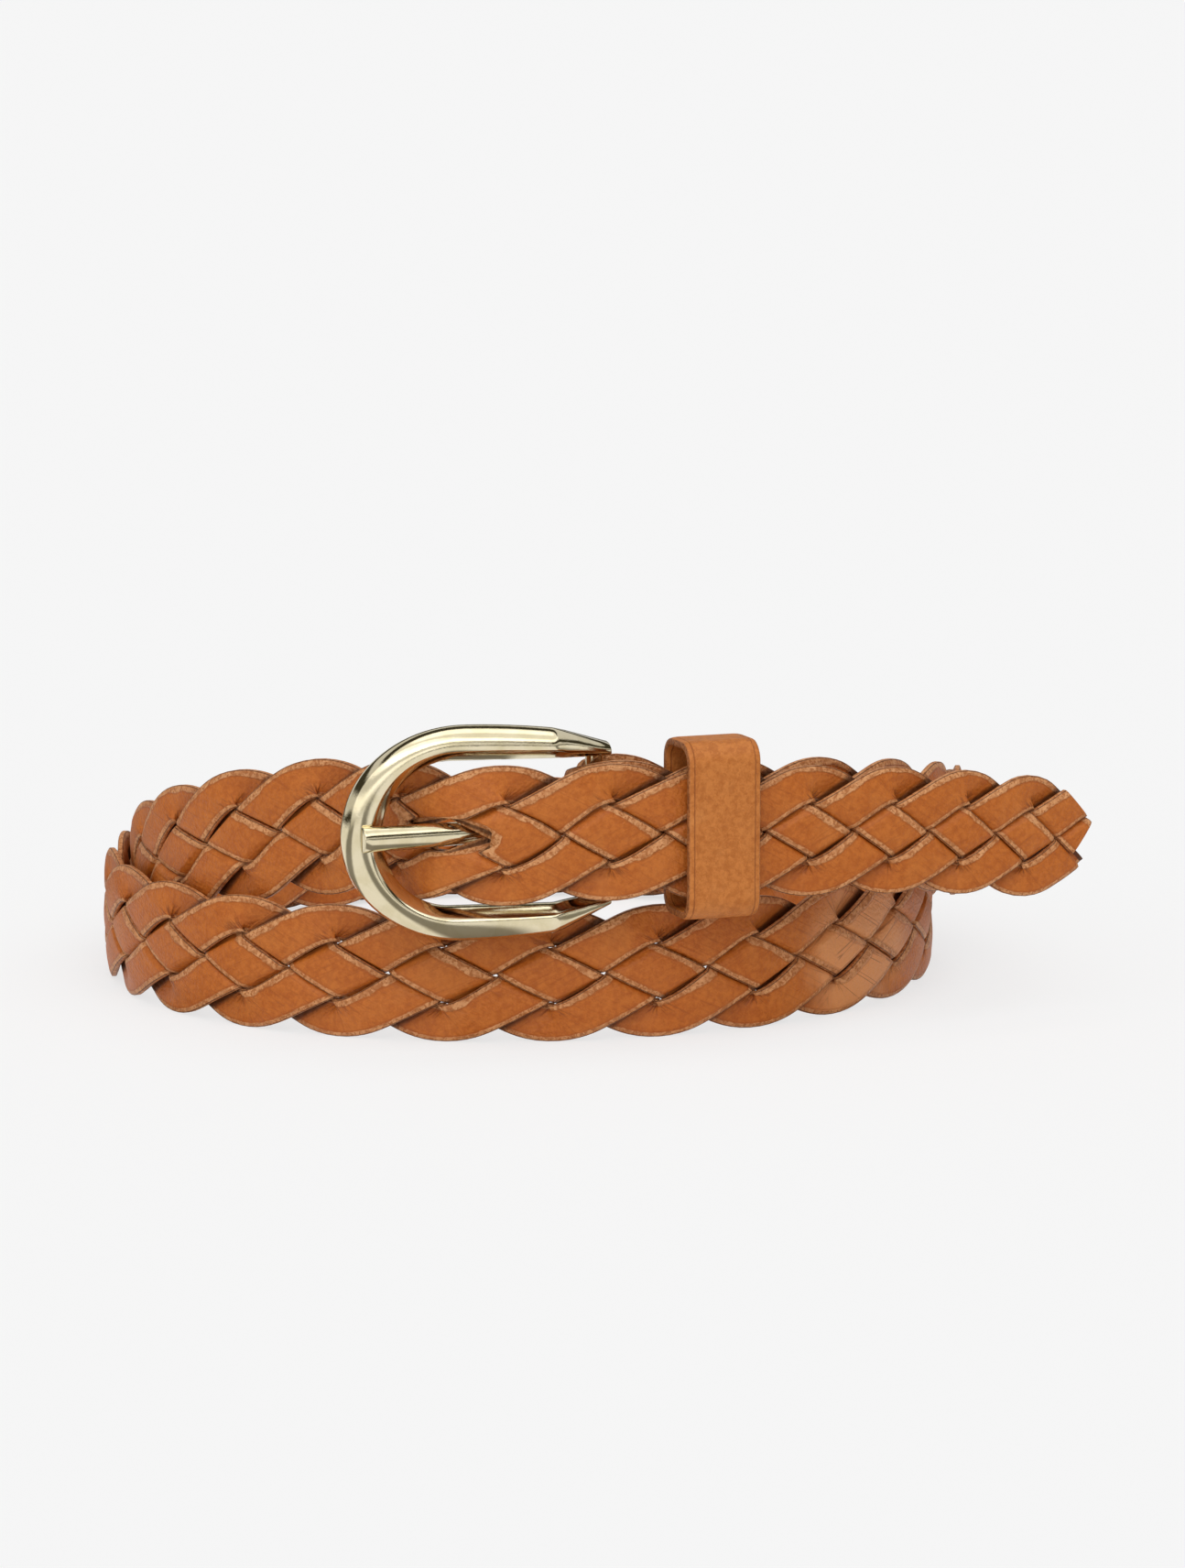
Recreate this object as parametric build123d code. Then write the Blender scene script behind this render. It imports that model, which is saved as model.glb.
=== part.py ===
from build123d import *
import math
import os

import numpy as np

# A narrow belt of four leather strands, braided flat, buckled and stood on edge as a coil of two turns.
# Millimetres, +Z up. The coil's axis is Z, the floor is z = 0, and the front, with the buckle, faces -Y.

# ---------------------------------------------------------------- driving dimensions
# strap
STRAP_WIDTH = 24.0  # across the braid, from lobe to lobe
STRAND_THICKNESS = 1.5
STRAND_AIR = 0.3  # between two strands where they cross
SIDE_AIR = 1.4  # between two strands side by side
LAYER_AIR = 0.5  # between two layers of strap
BRAID_PITCH = 19.5  # from one lobe to the next along an edge
LOBE_REACH_SHARE = 0.355  # how far a strand's middle swings to each side, as a share of the strap's width
SHARPNESS = 0.07  # third harmonic, which straightens a strand between its lobes
TAIL_LENGTH = 15.0  # folded back behind the bar
TIP_LENGTH = 78.0  # straight run past the coil
TIP_RADIUS = 400.0  # of its slight bend
TIP_DROP = 7.2  # how much lower the tip end stands than the buckle
TIP_TIGHTNESS = 0.6  # how much faster the braid turns at the tip than along the coil
TIP_NARROWING = 0.1
GAP_WIDENING = 0.04  # how much broader the braid is at the prong's gap
WIDENING_LENGTH = 30.0
# coil
COIL_RADIUS = 75.0  # of the lower turn at the front
TURN_GAP = 3.1  # between the two turns at the front, one above the other
RIGHT_SLOPE = (18.0, 165.0)  # on the right the upper turn comes down to the floor between these angles
LEFT_SLOPE = (10.0, 122.0)  # and on the left it goes up between these
# places round the coil, in degrees from the front towards the right
BAR_ANGLE = 11.4
PRONG_GAP_ANGLE = -7.4
KEEPER_ANGLE = 26.3
# buckle
BAR_RADIUS = 1.6
FRAME_HEIGHT = 38.4
FRAME_THICKNESS = 4.4
FRAME_BAND = 6.3  # breadth of the arms
CURVE_BAND = 7.4  # and of the curved end
FRAME_REACH = 46.0  # from the bar to the far side of the curved end
FRAME_TURN = 10.0  # degrees that the curved end stands forward, turned about the bar
BAR_DEPTH = 6.3  # of the bar behind the frame's middle
CURVE_LENGTH = 22.0  # of the curved end, half an ellipse
OPENING_CURVE = 12.0  # and of its opening
ARM_TAPER = 0.9  # how far the arms draw in from there to their ends
LUG_LENGTH = 8.2  # from the arms' ends to the bar
LUG_PAST = 2.7  # and beyond the bar
BEVEL_WIDTH = 2.6  # of the inner bevel, on the front
BEVEL_DEPTH = 2.4
FRONT_ROUND = 1.9
BACK_ROUND = 1.2
LUG_AIR = 0.2
LUG_THICKNESS = 2.3
LUG_DEPTH = 5.2
# a lug's section, as shares of its thickness outwards and of its depth forwards: its front corners are cut
LUG_SECTION = [(0, 0), (0.9, 0), (1, 0.2), (1, 0.6), (0.7, 1), (0.3, 1), (0, 0.5)]
BAR_FIT = 0.02
PRONG_WIDTH = 4.6  # at its end
PRONG_WAIST = 3.5  # at the bar
PRONG_THICKNESS = 2.4
PRONG_LENGTH = 43.8
PRONG_EYE_RADIUS = 2.8
PRONG_FIT = 0.08
PRONG_AIR = 0.12  # over the frame, at rest
# half of the prong's section, as shares of its half width and, from front to back, of its half thickness:
# its front corners are cut the most
PRONG_SECTION = [(0.55, -1), (1, -0.3), (1, 0.6), (0.7, 1)]
# keeper
KEEPER_WIDTH = 13.5
KEEPER_WALL = 1.7
KEEPER_CORNER = 4.0  # outside
KEEPER_AIR = 0.55  # between its walls and the strap's faces
KEEPER_SLACK = 2.3  # above and below the strap
BUTT_AIR = 0.2  # between the band's two ends
STAPLE_WIRE = 0.5
STAPLE_BROAD = 1.2
STAPLE_SPAN = 7.0
STAPLE_FIT = 0.05
# stitching of the fold
THREAD = 0.7
THREAD_AIR = 0.1
STITCH_COUNT = 4
STITCH_SPACING = 5.4
STITCH_LENGTH = 3.0
STITCH_FROM_BAR = 7.0
STITCH_BED = 0.5  # how deep the thread lies in the leather
# openings between the strands
SLOT_HALF = (10.0, 3.4)  # half length and half height of the slot in the fold, for the prong's eye
PRONG_GAP_HALF = (9.5, 3.0)  # of the gap that the prong comes out through
GAP_SPREAD = 3.5  # how far along the strap a gap pushes the braid, in half lengths
# the braid's own character
STRANDS = 4
LEAN_RATE = 2.2  # how soon a section leans to its full angle as the strand turns
LOBE_FULLNESS = 3  # the higher, the shorter the stretch where a strand is at its full lobe's width
LOBE_SHARES = (0.3, 0.5, 0.7)  # where a lobe has sections of its own, between its two crossings
END_TRIM = 4.0  # from the strap's ends to the middles of the cut strands
# how finely a strand is cut into flat faces: longest step along it, and parts across it
FOLD_FINENESS = (1.2, 6)
GAP_FINENESS = (2.4, 3)
FINE_MARGIN = 7.0  # beyond the fold and the gaps

# ---------------------------------------------------------------- derived sizes
STRAP_THICKNESS = 2 * STRAND_THICKNESS + STRAND_AIR
LAYER = STRAP_THICKNESS + LAYER_AIR
FOLD_RADIUS = BAR_RADIUS + LAYER_AIR + STRAP_THICKNESS / 2
LOWER_Z = STRAP_WIDTH / 2
UPPER_Z = LOWER_Z + STRAP_WIDTH + TURN_GAP

# ---------------------------------------------------------------- the strap's route
# Distance from the coil's axis, beyond COIL_RADIUS, at angles counted along the strap from the front.
BAR_OFFSET = 1.6
KEEPER_OFFSET = 3.8
PRONG_LIFT = 1.4  # of the outer layer at the bar, for the prong's eye
GAP_OFFSET = 7.7  # where the prong comes out through the strap
OVER_PRONG_OFFSET = 8.9
ROUTE = [
    (BAR_ANGLE, BAR_OFFSET),
    (KEEPER_ANGLE, KEEPER_OFFSET),
    (60, 7.6),
    (90, 8.6),
    (135, 5.8),
    (180, 3.6),
    (225, 2.0),
    (270, 1.3),
    (315, 0.6),
    (360, -3.0),
    (405, -1.0),
    (450, 2.4),
    (495, 1.6),
    (540, -0.4),
    (585, -2.2),
    (630, -3.7),
    (675, -3.4),
    (704, 2.2),
    (720 + PRONG_GAP_ANGLE, GAP_OFFSET),
    (720, OVER_PRONG_OFFSET),
    (720 + BAR_ANGLE, BAR_OFFSET + LAYER + PRONG_LIFT),
    (720 + KEEPER_ANGLE, KEEPER_OFFSET + LAYER),
]


def natural_cubic(xs, ys):
    """A smooth curve through the points, as a function."""
    xs, ys = np.array(xs, float), np.array(ys, float)
    h = np.diff(xs)
    n = len(xs)
    a = np.eye(n)
    b = np.zeros(n)
    for i in range(1, n - 1):
        a[i, i - 1 : i + 2] = h[i - 1], 2 * (h[i - 1] + h[i]), h[i]
        b[i] = 6 * ((ys[i + 1] - ys[i]) / h[i] - (ys[i] - ys[i - 1]) / h[i - 1])
    m = np.linalg.solve(a, b)

    def value(x):
        i = int(np.clip(np.searchsorted(xs, x) - 1, 0, n - 2))
        left, right = x - xs[i], xs[i + 1] - x
        return (
            (m[i] * right**3 + m[i + 1] * left**3) / (6 * h[i])
            + (ys[i] / h[i] - m[i] * h[i] / 6) * right
            + (ys[i + 1] / h[i] - m[i + 1] * h[i] / 6) * left
        )

    return value


def height_at(angle):
    """Height of the strap's middle: up at the buckle, down at the back, on the floor for a turn, up again."""
    top, floor = RIGHT_SLOPE if angle < 360 else LEFT_SLOPE
    from_front = angle if angle < 360 else abs(720 - angle)
    share = min(max((from_front - top) / (floor - top), 0.0), 1.0)
    return LOWER_Z + (UPPER_Z - LOWER_Z) * (1 + math.cos(math.pi * share)) / 2


class Centreline:
    """The strap's middle line, from the bar round two turns to the tip, by its length s from the bar."""

    STEP = 0.5  # degrees

    def __init__(self):
        radius = natural_cubic(*zip(*[(a, COIL_RADIUS + off) for a, off in ROUTE]))
        first, last = ROUTE[0][0], ROUTE[-1][0]
        count = round((last - first) / self.STEP)
        self.angles = np.linspace(first, last, count + 1)
        points = []
        for a in self.angles:
            t = math.radians(a)
            points.append((radius(a) * math.sin(t), -radius(a) * math.cos(t), height_at(a)))
        # the tip leaves the coil along a nearly straight arc
        (x0, y0, _), (x1, y1, z1) = points[-2:]
        heading = math.atan2(y1 - y0, x1 - x0)
        steps = 40
        for i in range(1, steps + 1):
            share = i / steps
            turned = TIP_LENGTH * share / TIP_RADIUS
            x = x1 + TIP_RADIUS * (math.sin(heading + turned) - math.sin(heading))
            y = y1 - TIP_RADIUS * (math.cos(heading + turned) - math.cos(heading))
            points.append((x, y, z1 - TIP_DROP * share * share))
        self.points = np.array(points)
        steps = np.linalg.norm(np.diff(self.points, axis=0), axis=1)
        self.s = np.concatenate([[0.0], np.cumsum(steps)])
        self.length = self.s[-1]
        tangents = np.gradient(self.points, self.s, axis=0)
        self.tangents = tangents / np.linalg.norm(tangents, axis=1)[:, None]

    def s_at_angle(self, angle):
        return float(np.interp(angle, self.angles, self.s[: len(self.angles)]))

    def frame(self, s):
        """Point, direction, outward normal and upward direction of the strap at s."""
        point = np.array([np.interp(s, self.s, c) for c in self.points.T])
        t = np.array([np.interp(s, self.s, c) for c in self.tangents.T])
        t /= np.linalg.norm(t)
        out = np.array([t[1], -t[0], 0.0])
        out /= np.linalg.norm(out)
        return point, t, out, np.cross(out, t)


LINE = Centreline()
FOLD_LENGTH = math.pi * FOLD_RADIUS
S_START = -FOLD_LENGTH - TAIL_LENGTH


def place(s, across, out):
    """World position of a point of the strap: s along it, across it (up) and out from its middle surface."""
    if s >= 0:
        point, t, normal, up = LINE.frame(s)
        return point + across * up + out * normal
    if s >= -FOLD_LENGTH:
        point, t, normal, up = LINE.frame(0)
        turn = -s / FOLD_RADIUS
        centre = point - FOLD_RADIUS * normal
        spoke = math.cos(turn) * normal - math.sin(turn) * t
        return centre + (FOLD_RADIUS + out) * spoke + across * up
    point, t, normal, up = LINE.frame(-FOLD_LENGTH - s)
    return point - 2 * FOLD_RADIUS * normal - out * normal + across * up


# ---------------------------------------------------------------- the braid
S_FOLD = -FOLD_LENGTH / 2
S_PRONG = LINE.s_at_angle(720 + PRONG_GAP_ANGLE)
S_KEEPER = LINE.s_at_angle(720 + KEEPER_ANGLE)
CROSSINGS = round((S_PRONG - S_FOLD) / BRAID_PITCH)  # a whole number from the bar's slot to the prong's gap
PITCH = (S_PRONG - S_FOLD) / CROSSINGS
CROSSING_OUT = (STRAND_THICKNESS + STRAND_AIR) / 2  # from the strap's middle surface to a strand's
# where a strand crosses another, as a share of its full wave, and whether it passes over (+1) or under (-1)
CROSSES = [(1 / 8, 1), (1 / 4, -1), (3 / 8, 1), (5 / 8, -1), (3 / 4, 1), (7 / 8, -1)]


def tip_share(s):
    return min(max((s - S_KEEPER) / (LINE.length - S_KEEPER), 0.0), 1.0)


def lobes_at(s):
    """How many lobes lie between the bar's slot and s. The braid tightens towards the tip."""
    past = tip_share(s) * (LINE.length - S_KEEPER)
    return (s - S_FOLD + TIP_TIGHTNESS * past * tip_share(s) / 2) / PITCH


def local_pitch(s):
    return PITCH / (1 + TIP_TIGHTNESS * tip_share(s))


def local_width(s):
    widening = GAP_WIDENING * math.exp(-(((s - S_PRONG) / WIDENING_LENGTH) ** 2))
    return STRAP_WIDTH * (1 + widening - TIP_NARROWING * tip_share(s))


def strand_path(index, s):
    """Across position of a strand's middle, its slope, and its phase: 0 at a lower lobe, 0.5 at an upper."""
    phase = (lobes_at(s) + index + 0.5) / STRANDS
    turn = 2 * math.pi * phase
    reach = LOBE_REACH_SHARE * local_width(s)
    across = -reach * (math.cos(turn) + SHARPNESS * math.cos(3 * turn)) / (1 + SHARPNESS)
    rise = reach * (math.sin(turn) + 3 * SHARPNESS * math.sin(3 * turn)) / (1 + SHARPNESS)
    return across, rise * 2 * math.pi / (STRANDS * local_pitch(s)), phase


def steepest(s):
    """Angle between a strand's straight stretch and the strap."""
    reach = LOBE_REACH_SHARE * local_width(s)
    slope = reach * (1 - 3 * SHARPNESS) / (1 + SHARPNESS) * 2 * math.pi / (STRANDS * local_pitch(s))
    return math.atan(slope)


def crossing_half(s):
    """Half of the stretch that a strand needs to cross another, as a share of its full wave."""
    width = local_pitch(s) * math.sin(steepest(s)) - SIDE_AIR
    return width / (4 * math.sin(steepest(s))) / (STRANDS * local_pitch(s))


def out_at(phase, s):
    """How far a strand stands out from the strap's middle surface: flat over a crossing, then to the next."""
    half = crossing_half(s)
    phase = phase % 1.0
    ring = [(CROSSES[-1][0] - 1, CROSSES[-1][1])] + CROSSES + [(CROSSES[0][0] + 1, CROSSES[0][1])]
    for (a, side), (b, other) in zip(ring, ring[1:]):
        if a <= phase <= b:
            start, end = a + half, b - half
            share = min(max((phase - start) / (end - start), 0.0), 1.0)
            return CROSSING_OUT * (side + (other - side) * share)


def open_gap(s, across, centre, half_long, half_high):
    """Pushes the braid apart round a gap, by less the further away it is."""
    ds, dv = s - centre, across
    far = math.hypot(ds / (GAP_SPREAD * half_long), dv / (STRAP_WIDTH / 2))
    fade = max(0.0, 1 - far * far) ** 2
    size = math.hypot(ds / half_long, dv / half_high)
    if fade == 0 or size < 1e-9:
        return s, across
    push = 1 + fade * (math.sqrt(size * size + 1) / size - 1)
    return centre + ds * push, dv * push


def section(index, s, parts):
    """Both faces of a strand along a line that runs with the strands that it crosses."""
    across, slope, phase = strand_path(index, s)
    angle = math.atan(slope)
    limit = steepest(s)
    lean = (math.pi / 2 - limit) * math.tanh(LEAN_RATE * angle / limit) / math.tanh(LEAN_RATE)
    ruling = math.pi / 2 + lean
    straight = local_pitch(s) * math.sin(limit) - SIDE_AIR
    lobe = local_width(s) * (1 - 2 * LOBE_REACH_SHARE)
    turned = abs(math.cos(2 * math.pi * phase)) ** LOBE_FULLNESS
    half = (straight + (lobe - straight) * turned) / 2 / math.sin(ruling - angle)
    out = out_at(phase, s)
    rows = []
    for side in (1, -1):
        row = []
        for i in range(parts + 1):
            along = half * (2 * i / parts - 1)
            ps, pv = s + along * math.cos(ruling), across + along * math.sin(ruling)
            ps, pv = open_gap(ps, pv, S_FOLD, *SLOT_HALF)
            ps, pv = open_gap(ps, pv, S_PRONG, *PRONG_GAP_HALF)
            row.append(place(ps, pv, out + side * STRAND_THICKNESS / 2))
        rows.append(row)
    return rows


def fineness(s):
    """Longest step between a strand's sections, and parts across it: finer at the fold and round the gaps."""
    if abs(s - S_FOLD) < FOLD_LENGTH / 2 + FINE_MARGIN:
        return FOLD_FINENESS
    if abs(s - S_FOLD) < SLOT_HALF[0] + 2 * FINE_MARGIN or abs(s - S_PRONG) < PRONG_GAP_HALF[0] + FINE_MARGIN:
        return GAP_FINENESS
    return STRAP_WIDTH, 1


def stations(index):
    """Where along the strap a strand has a section, and into how many parts each is split across."""
    fine = np.arange(S_START, LINE.length, 0.05)
    lobes = np.array([lobes_at(s) for s in fine])
    first = math.ceil((lobes[0] + index + 0.5) / STRANDS) - 1
    last = math.floor((lobes[-1] + index + 0.5) / STRANDS) + 1
    spots = []
    for wave in range(first, last + 1):
        for k, (cross, _) in enumerate(CROSSES):
            for step in (-1, 0, 1):
                spots.append((wave, cross, step))
            if cross in (3 / 8, 7 / 8):
                for share in LOBE_SHARES:
                    spots.append((wave, cross + share / 4, 0))
    result = []
    for wave, cross, step in spots:
        s = float(np.interp((wave + cross) * STRANDS - index - 0.5, lobes, fine))
        s += step * crossing_half(s) * STRANDS * local_pitch(s)
        if S_START + END_TRIM < s < LINE.length - END_TRIM:
            result.append(s)
    result = sorted(result)
    full = [result[0]]
    for a, b in zip(result, result[1:]):
        pieces = math.ceil((b - a) / fineness((a + b) / 2)[0])
        full += [a + (b - a) * i / pieces for i in range(1, pieces + 1)]
    return [(s, fineness(s)[1]) for s in full]


def zip_rows(a, b):
    """Triangles between two rows of points."""
    triangles = []
    i = j = 0
    while i < len(a) - 1 or j < len(b) - 1:
        if j == len(b) - 1 or (i < len(a) - 1 and (i + 1) / (len(a) - 1) <= (j + 1) / (len(b) - 1)):
            triangles.append((a[i], b[j], a[i + 1]))
            i += 1
        else:
            triangles.append((a[i], b[j], b[j + 1]))
            j += 1
    return triangles


def strand_triangles(index):
    sections = [section(index, s, parts) for s, parts in stations(index)]
    triangles = []
    for (top, bottom), (next_top, next_bottom) in zip(sections, sections[1:]):
        triangles += zip_rows(top, next_top)
        triangles += zip_rows(next_bottom, bottom)
        triangles += zip_rows([top[-1], bottom[-1]], [next_top[-1], next_bottom[-1]])
        triangles += zip_rows([bottom[0], top[0]], [next_bottom[0], next_top[0]])
    (top, bottom), (last_top, last_bottom) = sections[0], sections[-1]
    triangles += zip_rows(bottom, top)
    triangles += zip_rows(last_top, last_bottom)
    return triangles


# ---------------------------------------------------------------- solids
def strand(index):
    """One leather strand, as a solid of flat faces."""
    faces = [Face(Wire.make_polygon([Vector(*p) for p in t], close=True)) for t in strand_triangles(index)]
    return Solid(Shell(faces))


# ---------------------------------------------------------------- the buckle
BAR_POINT, _, BAR_OUT, _ = LINE.frame(0)
BAR_X, BAR_Y = (BAR_POINT - FOLD_RADIUS * BAR_OUT)[:2]
FRAME_HALF = FRAME_HEIGHT / 2
OPENING_HALF = FRAME_HALF - FRAME_BAND
LUG_INNER = STRAP_WIDTH / 2 + LUG_AIR
LUG_OUTER = LUG_INNER + LUG_THICKNESS
# the buckle is drawn with the bar at x = 0, the curved end towards -x and its front towards +z
BUCKLE = Plane(
    origin=(BAR_X, BAR_Y, UPPER_Z),
    x_dir=(math.cos(math.radians(FRAME_TURN)), math.sin(math.radians(FRAME_TURN)), 0),
    z_dir=(math.sin(math.radians(FRAME_TURN)), -math.cos(math.radians(FRAME_TURN)), 0),
)


def d_face(left, curve_length, half, taper):
    """Half an ellipse on the left, and two arms that draw in by the taper towards their ends."""
    middle, end = left + curve_length, half - taper
    curve = EllipticalCenterArc((middle, 0), curve_length, half, 90, arc_size=180)
    if taper:
        lower = TangentArc((middle, -half), (-LUG_LENGTH, -end), tangent=(1, 0))
        upper = TangentArc((middle, half), (-LUG_LENGTH, end), tangent=(1, 0))
    else:
        lower = Line((middle, -half), (-LUG_LENGTH, -end))
        upper = Line((middle, half), (-LUG_LENGTH, end))
    return make_face([curve, lower, Line((-LUG_LENGTH, -end), (-LUG_LENGTH, end)), upper])


def level_edges(shape, level, inside):
    """Edges at one face of the frame, those of its opening or the others, without those at the arms' ends."""
    found = []
    for edge in shape.edges():
        middle = edge.center()
        opening = abs(middle.Y) < OPENING_HALF + 0.01 and middle.X > CURVE_BAND - FRAME_REACH - 0.01
        if abs(middle.Z - level) < 0.01 and middle.X < -LUG_LENGTH - 0.01 and opening == inside:
            found.append(edge)
    return found


def buckle_frame():
    """The D-shaped front, with a broad bevel inside, and an arm back to the bar at each end."""
    front, back = BAR_DEPTH + FRAME_THICKNESS / 2, BAR_DEPTH - FRAME_THICKNESS / 2
    outer = d_face(-FRAME_REACH, CURVE_LENGTH, FRAME_HALF, ARM_TAPER)
    inner = d_face(CURVE_BAND - FRAME_REACH, OPENING_CURVE, OPENING_HALF, 0)
    body = Pos(0, 0, back) * extrude(outer, FRAME_THICKNESS)
    body = fillet(level_edges(body, front, False), FRONT_ROUND)
    body = fillet(level_edges(body, back, False), BACK_ROUND)
    body -= extrude(inner, 2 * front)
    body = chamfer(level_edges(body, front, True), BEVEL_DEPTH, BEVEL_WIDTH)
    for side in (1, -1):
        body += lug(side)
    return BUCKLE * body


def lug_outline(x, inner, outer, back, front):
    """Section of a lug at x, between its inner and outer side and its back and front."""
    points = [(inner + (outer - inner) * a, back + (front - back) * b) for a, b in LUG_SECTION]
    plane = Plane(origin=(x, 0, 0), x_dir=(0, 1, 0), z_dir=(1, 0, 0))
    return plane * make_face(Polyline(*points, close=True))


def lug(side):
    """An arm's end: it draws in beside the strap and leans back to hold the bar."""
    half = FRAME_THICKNESS / 2
    start = lug_outline(
        -LUG_LENGTH, OPENING_HALF, FRAME_HALF - ARM_TAPER, BAR_DEPTH - half, BAR_DEPTH + half
    )
    end = lug_outline(LUG_PAST, LUG_INNER, LUG_OUTER, -LUG_DEPTH / 2, LUG_DEPTH / 2)
    arm = loft([start, end], ruled=True)
    arm -= Rot(90, 0, 0) * Cylinder(BAR_RADIUS + BAR_FIT, 2 * FRAME_HEIGHT)
    return arm if side > 0 else mirror(arm, Plane.XZ)


def buckle_bar():
    return Pos(BAR_X, BAR_Y, UPPER_Z) * Cylinder(BAR_RADIUS, 2 * (LUG_OUTER - LUG_AIR))


def prong_outline(width):
    """Section of the prong's shank."""
    half = [(a * width / 2, b * PRONG_THICKNESS / 2) for a, b in PRONG_SECTION]
    return make_face(Polyline(*half, *[(-x, y) for x, y in reversed(half)], close=True))


def prong():
    """An eye round the bar and a straight shank whose cut end lies on the frame."""
    rest = BAR_DEPTH + FRAME_THICKNESS / 2 + PRONG_AIR + PRONG_THICKNESS / 2
    touch = FRAME_REACH - CURVE_BAND + BEVEL_WIDTH
    slope = math.atan2(rest, touch)
    along = Plane(origin=(0, 0, 0), x_dir=(0, 1, 0), z_dir=(-math.cos(slope), 0, math.sin(slope)))
    ends = [along * prong_outline(PRONG_WAIST), along.offset(PRONG_LENGTH) * prong_outline(PRONG_WIDTH)]
    shank = loft(ends, ruled=True)
    upright = Rot(90, 0, 0)
    eye = upright * Cylinder(PRONG_EYE_RADIUS, PRONG_WAIST)
    bore = upright * Cylinder(BAR_RADIUS + PRONG_FIT, 3 * PRONG_WIDTH)
    return BUCKLE * (shank + eye - bore)


# ---------------------------------------------------------------- the keeper
def keeper_plane():
    """Across the strap at the keeper, midway between the two layers: x outwards and y up."""
    point, along, out, up = LINE.frame(LINE.s_at_angle(KEEPER_ANGLE))
    level = np.array([along[0], along[1], 0.0])
    middle = point + LAYER / 2 * out
    return Plane(
        origin=(middle[0], middle[1], point[2]),
        x_dir=tuple(out),
        z_dir=tuple(-level / np.linalg.norm(level)),
    )


KEEPER_IN_DEEP = STRAP_THICKNESS + LAYER + 2 * KEEPER_AIR
KEEPER_IN_HIGH = STRAP_WIDTH + 2 * KEEPER_SLACK


def staple_legs(air):
    """The staple's two legs, through the keeper's back wall on each side of its butt joint."""
    legs = Part()
    for side in (1, -1):
        x = -KEEPER_IN_DEEP / 2 - KEEPER_WALL / 2 - STAPLE_WIRE / 2
        leg = Box(KEEPER_WALL + STAPLE_WIRE, STAPLE_WIRE + 2 * air, STAPLE_BROAD + 2 * air)
        legs += Pos(x, side * (STAPLE_SPAN - STAPLE_WIRE) / 2, 0) * leg
    return legs


def keeper_band():
    deep, high = KEEPER_IN_DEEP + 2 * KEEPER_WALL, KEEPER_IN_HIGH + 2 * KEEPER_WALL
    outer = RectangleRounded(deep, high, KEEPER_CORNER)
    inner = RectangleRounded(KEEPER_IN_DEEP, KEEPER_IN_HIGH, KEEPER_CORNER - KEEPER_WALL)
    band = extrude(outer - inner, KEEPER_WIDTH / 2, both=True)
    joint = Pos(-deep / 2, 0, 0) * Box(3 * KEEPER_WALL, BUTT_AIR, 2 * KEEPER_WIDTH)
    return keeper_plane() * (band - joint - staple_legs(STAPLE_FIT))


def keeper_staple():
    crown = Box(STAPLE_WIRE, STAPLE_SPAN, STAPLE_BROAD)
    x = -KEEPER_IN_DEEP / 2 - KEEPER_WALL - STAPLE_WIRE / 2
    return keeper_plane() * (Pos(x - STAPLE_FIT, 0, 0) * crown + staple_legs(0))


# ---------------------------------------------------------------- the fold's stitching
def stitch(across, thread):
    """A loop of thread through both layers of the fold, bedded in the leather."""
    point, along, out, up = LINE.frame(STITCH_FROM_BAR)
    plane = Plane(
        origin=tuple(point - FOLD_RADIUS * out + across * up), x_dir=tuple(out), z_dir=tuple(along)
    )
    deep = 2 * FOLD_RADIUS + STRAP_THICKNESS - 2 * STITCH_BED
    loop = Box(deep + thread, STITCH_LENGTH + thread, thread)
    loop -= Box(deep - thread, STITCH_LENGTH - thread, 3 * thread)
    return plane * loop


def stitches(thread):
    row = [STITCH_SPACING * (i - (STITCH_COUNT - 1) / 2) for i in range(STITCH_COUNT)]
    return [stitch(across, thread) for across in row]


# ---------------------------------------------------------------- writing
def write(name, shape):
    os.makedirs("parts", exist_ok=True)
    export_step(shape, f"parts/{name}.step")


write("buckle_frame", buckle_frame())
write("buckle_bar", buckle_bar())
write("prong", prong())
write("keeper_band", keeper_band())
write("keeper_staple", keeper_staple())
write("fold_stitching", Compound(children=[s.solid() for s in stitches(THREAD)]))
holes = stitches(THREAD + 2 * THREAD_AIR)
for number in range(STRANDS):
    leather = strand(number)
    for hole in holes:
        leather -= hole
    write(f"strand_{number + 1}", leather)
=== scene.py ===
import math

import bmesh
import bpy
import numpy as np
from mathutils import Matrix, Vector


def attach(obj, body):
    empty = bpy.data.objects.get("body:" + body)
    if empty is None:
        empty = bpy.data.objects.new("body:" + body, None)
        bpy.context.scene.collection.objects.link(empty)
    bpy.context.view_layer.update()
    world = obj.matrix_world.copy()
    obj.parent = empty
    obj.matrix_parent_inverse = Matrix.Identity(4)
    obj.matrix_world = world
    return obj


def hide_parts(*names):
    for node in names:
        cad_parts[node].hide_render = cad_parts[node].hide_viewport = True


# A narrow belt of four leather strands, braided flat, buckled and stood on edge as a coil of two turns.
# Metres, +Z up. The coil's axis is Z, the floor is z = 0, and the front, with the buckle, faces -Y.

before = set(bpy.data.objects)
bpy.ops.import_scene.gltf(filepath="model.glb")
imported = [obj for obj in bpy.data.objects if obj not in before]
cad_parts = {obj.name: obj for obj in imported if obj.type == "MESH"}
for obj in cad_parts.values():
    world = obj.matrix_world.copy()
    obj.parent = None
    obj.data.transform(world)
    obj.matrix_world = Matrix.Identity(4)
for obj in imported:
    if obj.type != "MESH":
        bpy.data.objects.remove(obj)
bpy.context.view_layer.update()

MM = 0.001
ONE_TURN, TWO_TURNS = 360, 720  # degrees
NEARLY_ZERO = 1e-9

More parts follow.
